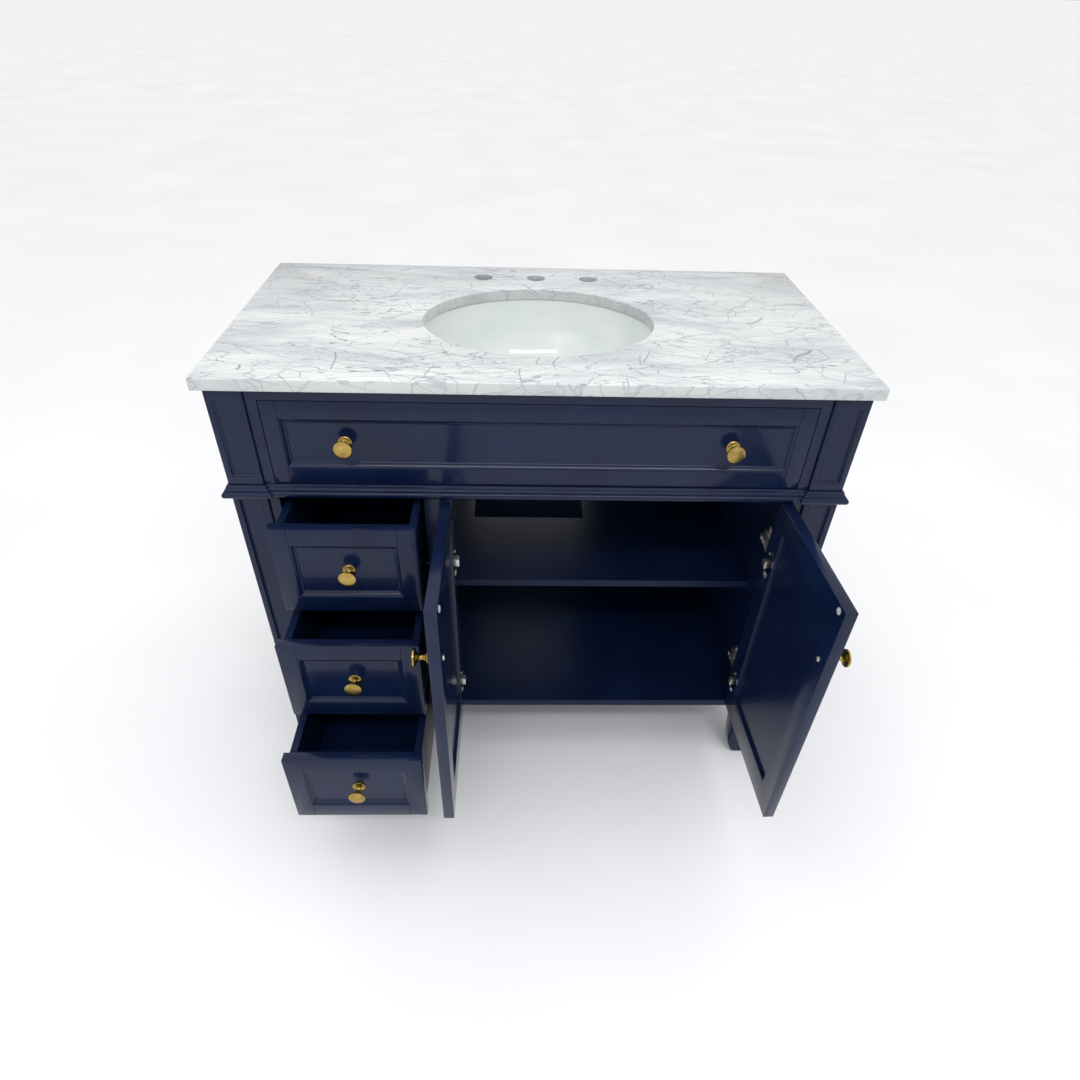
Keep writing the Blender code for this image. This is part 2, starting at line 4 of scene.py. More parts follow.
import bmesh
import bpy
from mathutils import Euler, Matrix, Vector


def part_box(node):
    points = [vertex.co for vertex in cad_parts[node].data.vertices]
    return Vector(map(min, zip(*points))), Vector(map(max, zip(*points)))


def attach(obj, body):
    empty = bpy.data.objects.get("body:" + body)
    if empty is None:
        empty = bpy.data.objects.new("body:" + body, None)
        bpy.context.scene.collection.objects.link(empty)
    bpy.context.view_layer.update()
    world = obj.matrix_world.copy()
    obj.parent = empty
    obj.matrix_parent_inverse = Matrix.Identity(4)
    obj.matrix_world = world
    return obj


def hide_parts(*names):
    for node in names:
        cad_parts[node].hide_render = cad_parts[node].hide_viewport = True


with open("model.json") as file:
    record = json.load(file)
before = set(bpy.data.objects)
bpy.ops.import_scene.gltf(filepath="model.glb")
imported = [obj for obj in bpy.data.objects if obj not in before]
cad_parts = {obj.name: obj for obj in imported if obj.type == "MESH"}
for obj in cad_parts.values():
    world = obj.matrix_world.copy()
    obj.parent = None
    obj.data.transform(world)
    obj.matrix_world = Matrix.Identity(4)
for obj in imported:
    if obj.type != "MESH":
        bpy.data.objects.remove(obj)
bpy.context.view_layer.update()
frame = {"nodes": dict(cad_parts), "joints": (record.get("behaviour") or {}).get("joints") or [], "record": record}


def selectOnly(obj):
    if bpy.context.mode != "OBJECT":
        bpy.ops.object.mode_set(mode="OBJECT")
    bpy.ops.object.select_all(action="DESELECT")
    obj.select_set(True)
    bpy.context.view_layer.objects.active = obj


def startEdit(obj):
    selectOnly(obj)
    bpy.ops.object.mode_set(mode="EDIT")
    bpy.ops.mesh.select_all(action="DESELECT")


def endEdit():
    bpy.ops.object.mode_set(mode="OBJECT")


def pick(obj, kind, test):  # kind is verts, edges or faces; test says which ones by place or normal
    bpy.ops.mesh.select_all(action="DESELECT")
    bm = bmesh.from_edit_mesh(obj.data)
    for element in getattr(bm, kind):
        if test(element):
            element.select_set(True)
    bm.select_flush_mode()
    bmesh.update_edit_mesh(obj.data)


def pickVerts(obj, test):
    bpy.ops.mesh.select_mode(type="VERT")
    pick(obj, "verts", test)


def settle(obj):  # puts the place and turn into the mesh
    selectOnly(obj)
    bpy.ops.object.transform_apply(location=True, rotation=True, scale=True)
    return obj


def block(name, low, high, edge=0.0, segments=2):  # box between two corners with its edges eased
    low, high = Vector(low), Vector(high)
    bpy.ops.mesh.primitive_cube_add(size=1, location=(low + high) / 2, scale=high - low)
    obj = bpy.context.object
    obj.name = name
    settle(obj)
    if edge:
        startEdit(obj)
        bpy.ops.mesh.select_all(action="SELECT")
        bpy.ops.mesh.bevel(offset=edge, segments=segments, affect="EDGES")
        endEdit()
    return obj


def drawLine(name, points, close=False):  # one vertex drawn on from point to point
    bpy.ops.mesh.primitive_plane_add(size=0.01, location=points[0])
    obj = bpy.context.object
    obj.name = name
    settle(obj)
    startEdit(obj)
    bpy.ops.mesh.select_mode(type="VERT")
    bpy.ops.mesh.select_all(action="SELECT")
    bpy.ops.mesh.merge(type="CENTER")
    for here, there in zip(points, points[1:]):
        step = Vector(there) - Vector(here)
        bpy.ops.mesh.extrude_region_move(TRANSFORM_OT_translate={"value": step})
    if close:
        bpy.ops.mesh.select_all(action="SELECT")
        bpy.ops.mesh.edge_face_add()
    return obj


def turned(name, profile, steps):  # (radius, height) profile spun round Z
    obj = drawLine(name, [(radius, 0, height) for radius, height in profile])
    bpy.ops.mesh.select_all(action="SELECT")
    bpy.ops.mesh.spin(steps=steps, angle=2 * pi, center=(0, 0, 0), axis=(0, 0, 1))
    bpy.ops.mesh.select_all(action="SELECT")
    bpy.ops.mesh.remove_doubles(threshold=0.000002)
    bpy.ops.mesh.normals_make_consistent(inside=False)
    endEdit()
    return obj


def place(obj, where, turn=(0, 0, 0)):
    obj.rotation_euler = turn
    obj.location = where
    return settle(obj)


def copied(obj, name):
    other = obj.copy()
    other.data = obj.data.copy()
    other.name = name
    bpy.context.collection.objects.link(other)
    return other


def applyAll(obj):
    selectOnly(obj)
    for mod in list(obj.modifiers):
        bpy.ops.object.modifier_apply(modifier=mod.name)
    return obj


def boolean(obj, other, operation="DIFFERENCE"):
    mod = obj.modifiers.new("boolean", "BOOLEAN")
    mod.operation = operation
    mod.object = other
    applyAll(obj)
    bpy.data.objects.remove(other, do_unlink=True)


def joined(name, pieces):
    selectOnly(pieces[0])
    for piece in pieces[1:]:
        piece.select_set(True)
    bpy.ops.object.join()
    pieces[0].name = name
    return pieces[0]


def smooth(obj, degrees=35):
    selectOnly(obj)
    bpy.ops.object.shade_smooth_by_angle(angle=radians(degrees))
    return obj


def finished(obj, body, slot, mat, *nodes):  # the closing lines of every piece
    obj.data.materials.clear()
    obj.data.materials.append(mat)
    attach(obj, body)
    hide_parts(*nodes)
    return obj


def ramp(a, b, count):
    return [a + (b - a) * i / (count - 1) for i in range(count)]


def hexColor(text):  # sRGB hex to linear
    channels = [int(text[i:i + 2], 16) / 255 for i in (0, 2, 4)]
    return [c / 12.92 if c <= 0.04045 else ((c + 0.055) / 1.055) ** 2.4 for c in channels] + [1.0]


def newMaterial(name, color, roughness, metallic=0.0):
    mat = bpy.data.materials.new(name)
    mat.use_nodes = True
    shader = mat.node_tree.nodes["Principled BSDF"]
    shader.inputs["Base Color"].default_value = hexColor(color)
    shader.inputs["Roughness"].default_value = roughness
    shader.inputs["Metallic"].default_value = metallic
    return mat, shader


def addNode(mat, kind, inputs, **settings):  # inputs: socket name or number to a value or a socket
    node = mat.node_tree.nodes.new("ShaderNode" + kind)
    for key, value in settings.items():
        setattr(node, key, value)
    for key, value in inputs.items():
        if isinstance(value, bpy.types.NodeSocket):
            mat.node_tree.links.new(value, node.inputs[key])
        else:
            node.inputs[key].default_value = value
    return node


def connect(mat, output, socket):
    mat.node_tree.links.new(output, socket)


def setRamp(node, *stops):  # stops: position and hex colour
    elements = node.color_ramp.elements
    while len(elements) < len(stops):
        elements.new(0.5)
    for element, (position, color) in zip(elements, stops):
        element.position = position
        element.color = hexColor(color)
    return node


# Sprayed navy lacquer on maple: even deep blue, slight film ripple, the grain just showing through.
def lacquer(name, color, lighter, roughness, ripple, coat):
    mat, shader = newMaterial(name, color, roughness)
    where = addNode(mat, "TexCoord", {}).outputs["Object"]
    cloud = addNode(mat, "TexNoise", {"Vector": where, "Scale": 9.0, "Detail": 3.0}).outputs["Fac"]
    tone = setRamp(addNode(mat, "ValToRGB", {"Fac": cloud}), (0.3, color), (0.75, lighter))
    connect(mat, tone.outputs["Color"], shader.inputs["Base Color"])
    rough = addNode(mat, "MapRange", {"Value": cloud, "From Min": 0.3, "From Max": 0.7,
                                      "To Min": roughness - 0.03, "To Max": roughness + 0.05})
    connect(mat, rough.outputs["Result"], shader.inputs["Roughness"])
    # grain 4 mm wide and 110 mm long, ripple 4.5 mm across: both coarser than real, so that they show
    grainMap = addNode(mat, "Mapping", {"Vector": where, "Scale": (260, 260, 9)})
    grain = addNode(mat, "TexNoise", {"Vector": grainMap.outputs["Vector"], "Scale": 1.0, "Detail": 3.0})
    peel = addNode(mat, "TexNoise", {"Vector": where, "Scale": 220.0, "Detail": 2.0})
    both = addNode(mat, "Math", {0: grain.outputs["Fac"], 1: 0.35, 2: peel.outputs["Fac"]},
                   operation="MULTIPLY_ADD")
    eased = addNode(mat, "Bevel", {"Radius": 0.0009}, samples=3)
    bump = addNode(mat, "Bump", {"Strength": ripple, "Distance": 0.0003, "Height": both.outputs[0],
                                 "Normal": eased.outputs["Normal"]})
    connect(mat, bump.outputs["Normal"], shader.inputs["Normal"])
    shader.inputs["Specular IOR Level"].default_value = 0.20
    shader.inputs["Coat Weight"].default_value = coat
    shader.inputs["Coat Roughness"].default_value = 0.07
    return mat


# Polished white marble: soft grey clouds with a net of thin, slanting grey veins that fade in and out.
def whiteMarble():
    mat, shader = newMaterial("polishedWhiteMarble", "ECEDEC", 0.12)
    where = addNode(mat, "TexCoord", {}).outputs["Object"]
    warp = addNode(mat, "TexNoise", {"Vector": where, "Scale": 3.2, "Detail": 2.0})
    centred = addNode(mat, "VectorMath", {0: warp.outputs["Color"], 1: (0.5, 0.5, 0.5)},
                      operation="SUBTRACT")
    swirl = addNode(mat, "VectorMath", {0: centred.outputs[0], "Scale": 0.10}, operation="SCALE")
    moved = addNode(mat, "VectorMath", {0: where, 1: swirl.outputs[0]}, operation="ADD").outputs[0]
    veins = []
    # long wavy veins: turn in degrees, stretch, scale for 40 to 100 mm spacing, line width, patch scale
    for turn, stretch, size, width, fade in ((33, (0.7, 2.6, 1.3), 4.2, 0.008, 5.0),
                                             (-28, (0.7, 2.8, 1.3), 6.0, 0.009, 7.0),
                                             (56, (0.8, 2.5, 1.3), 11.0, 0.010, 9.0)):
        lying = {"Vector": moved, "Rotation": (0, 0, radians(turn)), "Scale": stretch}
        lie = addNode(mat, "Mapping", lying)
        field = addNode(mat, "TexNoise", {"Vector": lie.outputs["Vector"], "Scale": size, "Detail": 4.0,
                                          "Roughness": 0.48})
        off = addNode(mat, "Math", {0: field.outputs["Fac"], 1: 0.5}, operation="SUBTRACT")
        away = addNode(mat, "Math", {0: off.outputs[0]}, operation="ABSOLUTE")
        veins.append((away.outputs[0], width, fade))
    # short straight veins that meet in a net 35 to 60 mm wide
    for turn, stretch, size, width, fade in ((24, (0.8, 2.1, 1.3), 8.0, 0.011, 6.0),
                                             (-36, (0.8, 2.2, 1.3), 12.0, 0.013, 7.5),
                                             (48, (0.8, 2.4, 1.3), 10.0, 0.012, 6.5)):
        lying = {"Vector": moved, "Rotation": (0, 0, radians(turn)), "Scale": stretch}
        lie = addNode(mat, "Mapping", lying)
        cells = addNode(mat, "TexVoronoi", {"Vector": lie.outputs["Vector"], "Scale": size},
                        feature="DISTANCE_TO_EDGE")
        veins.append((cells.outputs["Distance"], width, fade))
    most = None
    for away, width, fade in veins:  # a thin line where away is near nothing, shown in drifting patches
        line = addNode(mat, "MapRange", {"Value": away, "From Min": 0.0, "From Max": width,
                                         "To Min": 1.0, "To Max": 0.0}, interpolation_type="SMOOTHSTEP")
        patch = addNode(mat, "TexNoise", {"Vector": where, "Scale": fade, "Detail": 3.0})
        here = addNode(mat, "MapRange", {"Value": patch.outputs["Fac"], "From Min": 0.35,
                                         "From Max": 0.59})
        vein = addNode(mat, "Math", {0: line.outputs[0], 1: here.outputs[0]}, operation="MULTIPLY")
        if most:
            vein = addNode(mat, "Math", {0: most.outputs[0], 1: vein.outputs[0]}, operation="MAXIMUM")
        most = vein
    lying = {"Vector": moved, "Rotation": (0, 0, radians(28)), "Scale": (1, 3.2, 1)}
    streak = addNode(mat, "Mapping", lying)  # clouds about 200 mm long and 60 mm wide
    cloud = addNode(mat, "TexNoise", {"Vector": streak.outputs["Vector"], "Scale": 5.0, "Detail": 8.0,
                                      "Roughness": 0.62})
    ground = setRamp(addNode(mat, "ValToRGB", {"Fac": cloud.outputs["Fac"]}),
                     (0.32, "B2B7BA"), (0.54, "D6D9D7"), (0.75, "E2E4E1"))
    # painted shade: the marble ground is darkened and greyed towards the rear of the slab, by how far back along Y
    # it lies
    depth = addNode(mat, "SeparateXYZ", {"Vector": where})  # the ground turns greyer towards the rear
    rear = addNode(mat, "MapRange", {"Value": depth.outputs["Y"], "From Min": 0.16, "From Max": 0.42,
                                     "To Min": 0.0, "To Max": 0.5})
    shaded = addNode(mat, "Mix", {0: rear.outputs[0], 6: ground.outputs["Color"], 7: hexColor("A3A9AE")},
                     data_type="RGBA")
    facing = addNode(mat, "NewGeometry", {}).outputs["Normal"]
    # painted shade: faces that turn away from upward, the slab's upright edges, are darkened towards grey by how
    # far they turn, and their veins are drawn fainter
    flat = addNode(mat, "SeparateXYZ", {"Vector": facing})
    uprightShade = addNode(mat, "MapRange", {"Value": flat.outputs["Z"], "From Min": 0.2, "From Max": 0.9,
                                      "To Min": 0.40, "To Max": 0.0})
    edges = addNode(mat, "Mix", {0: uprightShade.outputs[0], 6: shaded.outputs[2], 7: hexColor("A9AEAC")},
                    data_type="RGBA")
    faint = addNode(mat, "MapRange", {"Value": flat.outputs["Z"], "From Min": 0.2, "From Max": 0.9,
                                      "To Min": 0.5, "To Max": 1.0})
    most = addNode(mat, "Math", {0: most.outputs[0], 1: faint.outputs[0]}, operation="MULTIPLY")
    color = addNode(mat, "Mix", {0: most.outputs[0], 6: edges.outputs[2], 7: hexColor("83868E")},
                    data_type="RGBA")
    connect(mat, color.outputs[2], shader.inputs["Base Color"])
    shader.inputs["Coat Weight"].default_value = 0.3
    shader.inputs["Coat Roughness"].default_value = 0.05
    shader.inputs["Subsurface Weight"].default_value = 0.06
    shader.inputs["Subsurface Radius"].default_value = (0.004, 0.004, 0.004)
    shader.inputs["Subsurface Scale"].default_value = 1.0
    return mat


# Vitreous china: thick white glaze with a faint cool tint and a wet gloss.
def chinaGlaze():
    mat, shader = newMaterial("vitreousChinaGlaze", "EDF1EE", 0.07)
    where = addNode(mat, "TexCoord", {}).outputs["Object"]
    cloud = addNode(mat, "TexNoise", {"Vector": where, "Scale": 12.0, "Detail": 3.0}).outputs["Fac"]
    tone = setRamp(addNode(mat, "ValToRGB", {"Fac": cloud}), (0.35, "D6DCD9"), (0.7, "DFE3DF"))
    connect(mat, tone.outputs["Color"], shader.inputs["Base Color"])
    bump = addNode(mat, "Bump", {"Strength": 0.05, "Distance": 0.0004, "Height": cloud})
    connect(mat, bump.outputs["Normal"], shader.inputs["Normal"])
    shader.inputs["Coat Weight"].default_value = 0.5
    shader.inputs["Coat Roughness"].default_value = 0.03
    return mat


# Metal with fine lathe or mill lines: the lines spread the highlight across themselves.
def brushedMetal(name, color, darker, roughness, lines):
    mat, shader = newMaterial(name, color, roughness, 1.0)
    where = addNode(mat, "TexCoord", {}).outputs["Object"]
    # lines about 1 mm apart, coarser than real so that they show
    stretch = addNode(mat, "Mapping", {"Vector": where, "Scale": lines})
    hair = addNode(mat, "TexNoise", {"Vector": stretch.outputs["Vector"], "Scale": 1.0, "Detail": 2.0})
    stain = addNode(mat, "TexNoise", {"Vector": where, "Scale": 90.0, "Detail": 3.0})  # 11 mm patches
    tone = setRamp(addNode(mat, "ValToRGB", {"Fac": stain.outputs["Fac"]}), (0.3, darker), (0.7, color))
    connect(mat, tone.outputs["Color"], shader.inputs["Base Color"])
    rough = addNode(mat, "MapRange", {"Value": hair.outputs["Fac"], "From Min": 0.3, "From Max": 0.7,
                                      "To Min": roughness - 0.05, "To Max": roughness + 0.08})
    connect(mat, rough.outputs["Result"], shader.inputs["Roughness"])
    bump = addNode(mat, "Bump", {"Strength": 0.15, "Distance": 0.0001, "Height": hair.outputs["Fac"]})
    connect(mat, bump.outputs["Normal"], shader.inputs["Normal"])
    return mat


# Moulded clear silicone: soft, see-through and a little cloudy, in spots of 2.5 mm.
def clearBumper():
    mat, shader = newMaterial("clearSiliconeBumper", "DDE2E6", 0.25)
    where = addNode(mat, "TexCoord", {}).outputs["Object"]
    cloud = addNode(mat, "TexNoise", {"Vector": where, "Scale": 400.0, "Detail": 2.0}).outputs["Fac"]
    tone = setRamp(addNode(mat, "ValToRGB", {"Fac": cloud}), (0.3, "C9D0D6"), (0.7, "EEF1F3"))
    connect(mat, tone.outputs["Color"], shader.inputs["Base Color"])
    shader.inputs["IOR"].default_value = 1.41
    shader.inputs["Transmission Weight"].default_value = 0.55
    return mat


outsidePaint = lacquer("navyLacquerOnMaple", "0B1632", "11203F", 0.20, 0.08, 0.20)
insidePaint = lacquer("navyLacquerOnPlywood", "0A1733", "0F1E3D", 0.36, 0.16, 0.0)
marble = whiteMarble()
glaze = chinaGlaze()
brass = brushedMetal("satinTurnedBrass", "B89E5C", "94793C", 0.22, (900, 900, 900))
nickel = brushedMetal("nickelPlatedSteel", "F0ECE4", "D8D3C8", 0.34, (300, 1200, 300))
zinc = brushedMetal("zincPlatedSteel", "C4C7CA", "A9ADB2", 0.30, (900, 60, 900))
bumperClear = clearBumper()
print("materials ready")

slotPaint = {"navy_paint": outsidePaint, "navy_interior": insidePaint, "marble": marble,
             "vitreous_china": glaze, "brass": brass, "hinge_nickel": nickel, "screw_steel": nickel,
             "slide_zinc": zinc, "bumper_rubber": bumperClear}
for part in frame["record"]["subparts"]:
    node = frame["nodes"][part["node"]]
    node.data.materials.clear()
    node.data.materials.append(slotPaint[part["material_slot"]])


stone = {"ovalHalfX": 0.1964, "ovalFront": 0.1013, "ovalRear": 0.1369, "ovalSteps": 160,
         "holeRadius": 0.0175, "holeSpacing": 0.1016, "holeBack": 0.067, "holeSteps": 48, "edge": 0.0012,
         "edgeSteps": 3}


def makeTop():
    low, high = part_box("countertop")
    top = block("marbleTop", low, high, stone["edge"], stone["edgeSteps"])
    halfY = (high.y - low.y - stone["ovalFront"] - stone["ovalRear"]) / 2
    middleY = high.y - stone["ovalRear"] - halfY
    middleZ = (low.z + high.z) / 2
    deep = 3 * (high.z - low.z)
    bpy.ops.mesh.primitive_cylinder_add(vertices=stone["ovalSteps"], radius=stone["ovalHalfX"],
                                        depth=deep, location=(0, middleY, middleZ))
    oval = bpy.context.object
    oval.scale.y = halfY / stone["ovalHalfX"]
    boolean(top, settle(oval))
    for i in (-1, 0, 1):  # spout in the middle, a handle each side
        where = (i * stone["holeSpacing"], high.y - stone["holeBack"], middleZ)
        bpy.ops.mesh.primitive_cylinder_add(vertices=stone["holeSteps"], radius=stone["holeRadius"],
                                            depth=deep, location=where)
        boolean(top, settle(bpy.context.object))
    mod = top.modifiers.new("edge", "BEVEL")
    mod.width = stone["edge"]
    mod.segments = stone["edgeSteps"]
    mod.angle_limit = radians(40)
    applyAll(top)
    smooth(top, 30)
    finished(top, "cabinet", "marble", marble, "countertop")


makeTop()
print("stone top done")


bowl = {"wall": 0.009, "flange": 0.022, "flangeThick": 0.013, "roundness": 0.55, "drain": 0.0225,
        "drainLip": 0.004, "drainDrop": 0.006, "round": 0.002, "steps": 96,
        "lowest": 0.46 * pi, "highest": 0.09 * pi, "insideSteps": 26, "outsideSteps": 20}


def makeBasin():
    low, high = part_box("basin")
    centre = (low + high) / 2
    outerX = (high.x - low.x) / 2
    rim = outerX - bowl["flange"]
    depth = high.z - low.z
    floor = bowl["wall"] - depth
    drain, ease = bowl["drain"], bowl["round"]
    profile = [(drain, floor + bowl["drainDrop"]), (drain + bowl["drainLip"], floor + ease)]
    for t in ramp(bowl["lowest"], 0, bowl["insideSteps"]):  # inside, from the drain up to the rim
        radius = rim * cos(t) ** bowl["roundness"]
        if radius > drain + bowl["drainDrop"]:
            profile.append((radius, sin(t) * floor))
    profile[-1] = (rim, -ease)
    profile += [(rim + ease, 0), (outerX - ease, 0), (outerX, -ease), (outerX, -bowl["flangeThick"])]
    for t in ramp(bowl["highest"], bowl["lowest"], bowl["outsideSteps"]):  # outside, back down
        radius = (rim + bowl["wall"]) * cos(t) ** bowl["roundness"]
        profile.append((radius, -sin(t) * depth))
    profile += [(drain + 2 * bowl["drainLip"], -depth), (drain, -depth)]
    profile.append(profile[0])
    basin = turned("basinBowl", profile, bowl["steps"])
    basin.scale.y = (high.y - low.y) / (high.x - low.x)
    place(basin, (centre.x, centre.y, high.z))
    smooth(basin, 40)
    finished(basin, "cabinet", "vitreous_china", glaze, "basin")


makeBasin()
print("basin done")


moulding = {"edge": 0.0010, "groove": 0.0008, "backStep": 0.0008, "offCentre": 0.01,
            "steps": ((0.0003, 0.0010), (0.0014, 0.0007), (0.0020, 0.0016), (0.0014, 0.0014),
                      (0.0009, 0.0002), (0.0014, 0.0007), (0.0008, 0.0009))}


def insetPanel(obj, side, rails, steps):  # rails: left and right, top, bottom width
    low, high = Vector(obj.bound_box[0]), Vector(obj.bound_box[6])
    startEdit(obj)
    bpy.ops.mesh.select_mode(type="FACE")
    whole = (high.x - low.x) * (high.z - low.z)
    pick(obj, "faces", lambda f: f.normal.y * side > 0.99 and f.calc_area() > 0.5 * whole)
    margin = rails[0] - moulding["edge"]
    bpy.ops.mesh.inset(thickness=margin, depth=0)
    face = [f for f in bmesh.from_edit_mesh(obj.data).faces if f.select][0]
    ends = sorted({round(v.co.z, 6) for v in face.verts})
    y = face.calc_center_median().y
    for level, target in ((ends[0], low.z + rails[2]), (ends[-1], high.z - rails[1])):
        pickVerts(obj, lambda v: abs(v.co.z - level) < 1e-4 and abs(v.co.y - y) < 1e-6
                  and low.x + 0.8 * margin < v.co.x < high.x - 0.8 * margin)
        bpy.ops.transform.translate(value=(0, 0, target - level))
    bpy.ops.mesh.select_mode(type="FACE")
    middle = (low + high) / 2

    def isPanel(f):  # its centre may sit a little off the board's
        off = f.calc_center_median() - middle
        return f.normal.y * side > 0.99 and max(abs(off.x), abs(off.z)) < moulding["offCentre"]

    pick(obj, "faces", isPanel)
    for inside, drop in steps:
        bpy.ops.mesh.inset(thickness=inside, depth=-drop)
    endEdit()


def scoreJoints(obj, rails):  # hairline where each rail butts against the stiles
    low, high = Vector(obj.bound_box[0]), Vector(obj.bound_box[6])
    g = moulding["groove"]
    for x in (low.x + rails[0], high.x - rails[0]):
        for z0, z1 in ((high.z - rails[1], high.z), (low.z, low.z + rails[2])):
            bpy.ops.mesh.primitive_cube_add(size=1, location=(x, low.y, (z0 + z1) / 2),
                                            scale=(g, g, z1 - z0 + 0.002), rotation=(0, 0, pi / 4))
            boolean(obj, settle(bpy.context.object))


def framedFront(name, low, high, rails, backStep=0.0):
    obj = block(name, low, high, moulding["edge"], 2)
    insetPanel(obj, -1, rails, moulding["steps"])
    if backStep:
        insetPanel(obj, 1, rails, ((moulding["backStep"], backStep),))
    scoreJoints(obj, rails)
    return smooth(obj, 30)


fronts = {"drawerRail": 0.030, "apronStile": 0.0245, "apronRail": 0.029, "doorRail": 0.042,
          "doorBottom": 0.050, "doorBack": 0.005}

low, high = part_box("false_front")
rails = (fronts["apronStile"], fronts["apronRail"], fronts["apronRail"])
apron = framedFront("falseFront", low, high, rails)
finished(apron, "cabinet", "navy_paint", outsidePaint, "false_front")
for word in ("top", "middle", "bottom"):
    low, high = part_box("drawer_front_" + word)
    rail = fronts["drawerRail"]
    front = framedFront("drawerFront" + word.capitalize(), low, high, (rail, rail, rail))
    finished(front, "drawer_" + word, "navy_paint", outsidePaint, "drawer_front_" + word)
print("drawer fronts done")


door = {"pivotInset": 0.002, "cupInset": 0.0225, "boreRadius": 0.0170, "boreDepth": 0.022,
        "boreSteps": 48}
doors = {}  # each leaf as it is when shut, worked back from the box of the open one
for joint in frame["joints"]:
    if joint["type"] == "hinge":
        word = "left" if "left" in joint["name"] else "right"
        side = -1 if word == "left" else 1
        angle = radians(-joint["range_deg"][0])
        low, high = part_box("door_" + word)
        across, along = high.x - low.x, high.y - low.y
        c, s = abs(cos(angle)), sin(angle)
        doors[word] = {"side": side, "angle": side * angle, "pivot": Vector((*joint["pos_m"][:2], 0)),
                       "low": low.z, "high": high.z,
                       "width": (along * s - across * c) / (s * s - c * c),
                       "thick": (across * s - along * c) / (s * s - c * c)}


def swing(obj, leaf):
    settle(obj)
    obj.rotation_euler.z = leaf["angle"]
    obj.location = leaf["pivot"]
    return settle(obj)


def makeDoor(word):
    leaf = doors[word]
    side = leaf["side"]
    edge = side * door["pivotInset"]
    x0, x1 = sorted((edge, edge - side * leaf["width"]))
    y0 = -door["pivotInset"]
    y1 = y0 + leaf["thick"]
    rails = (fronts["doorRail"], fronts["doorRail"], fronts["doorBottom"])
    obj = framedFront("doorLeaf" + word.capitalize(), (x0, y0, leaf["low"]), (x1, y1, leaf["high"]),
                      rails, fronts["doorBack"])
    for level in ("upper", "lower"):
        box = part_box("hinge_cup_%s_%s" % (word, level))
        where = (edge - side * door["cupInset"], y1, (box[0].z + box[1].z) / 2)
        bpy.ops.mesh.primitive_cylinder_add(vertices=door["boreSteps"], radius=door["boreRadius"],
                                            depth=door["boreDepth"], rotation=(pi / 2, 0, 0),
                                            location=where)
        boolean(obj, settle(bpy.context.object))
    swing(obj, leaf)
    finished(obj, "door_%s_leaf" % word, "navy_paint", outsidePaint, "door_" + word)


for word in ("left", "right"):
    makeDoor(word)
print("doors done")


knob = {"reach": 0.0255, "radius": 0.014, "base": 0.011, "steps": 48}


def knobShape():  # domed disc, waisted stem and stepped rosette, from the tip back to the wood
    k, r, b = knob["reach"], knob["radius"], knob["base"]
    crown = [(r * sin(t), k - 0.0012 * (1 - cos(t)) ** 0.9) for t in ramp(0, pi / 2, 9)]
    edge = [(r, k - 0.0022), (r, k - 0.0034), (r - 0.0007, k - 0.0042)]
    under = [(0.86 * r, k - 0.0047), (0.70 * r, k - 0.0056), (0.56 * r, k - 0.0068),
             (0.46 * r, k - 0.0084)]
    stem = [(0.40 * b, 0.0152), (0.36 * b, 0.0132), (0.35 * b, 0.0105), (0.38 * b, 0.0086)]
    collar = [(0.50 * b, 0.0074), (0.52 * b, 0.0066), (0.47 * b, 0.0058), (0.62 * b, 0.0048)]
    step = [(0.78 * b, 0.0040), (0.80 * b, 0.0031), (0.76 * b, 0.0027), (0.92 * b, 0.0022)]
    return crown + edge + under + stem + collar + step + [(b, 0.0014), (b, 0.0002), (0, 0.0)]


def makeKnobs():
    pattern = smooth(turned("knobPattern", knobShape(), knob["steps"]), 40)
    nodes = [("knob_false_left", "cabinet"), ("knob_false_right", "cabinet")]
    nodes += [("knob_drawer_" + word, "drawer_" + word) for word in ("top", "middle", "bottom")]
    nodes += [("knob_door_" + word, "door_%s_leaf" % word) for word in ("left", "right")]
    for node, body in nodes:
        low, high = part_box(node)
        turn = doors[body.split("_")[1]]["angle"] if "door" in node else 0.0
        outward = Vector((sin(turn), -cos(turn), 0))
        centre = (low + high) / 2
        obj = copied(pattern, "k" + node.title().replace("_", "")[1:])
        place(obj, centre - outward * knob["reach"] / 2, Euler((pi / 2, 0, turn)))
        smooth(obj, 40)
        finished(obj, body, "brass", brass, node)
    bpy.data.objects.remove(pattern, do_unlink=True)


makeKnobs()
print("knobs done")


hinge = {"cupRadius": 0.0167, "cupDepth": 0.0104, "lip": 0.0184, "plate": 0.0016, "shell": 0.0012,
         "round": 0.0004, "wing": 0.0265, "wingHalf": 0.0062, "wingEdge": 0.0005, "wingScrew": 0.0032,
         "screwInset": 0.0052, "knuckleOut": 0.0105, "knuckleIn": 0.0020, "knuckleHalf": 0.0075,
         "knuckleHigh": 0.0082, "knuckleLean": 0.0035, "knuckleEdge": 0.0014, "leanAbove": 0.005,
         "corner": 0.002, "base": 0.001, "wingSet": 0.0005, "screwHigh": 0.0010, "screwSet": 0.0002,
         "steps": 48, "screwSteps": 24}


def screwHead(name, radius, height):  # flat head with a cross recess
    side = [(0.75 * radius, height), (radius, 0.55 * height), (radius, 0)]
    head = turned(name, [(0, height), *side, (0, 0)], hinge["screwSteps"])
    for turn in (0, pi / 2):
        bpy.ops.mesh.primitive_cube_add(size=1, location=(0, 0, height), rotation=(0, 0, turn),
                                        scale=(1.25 * radius, 0.28 * radius, 0.9 * height))
        boolean(head, settle(bpy.context.object))
    return head


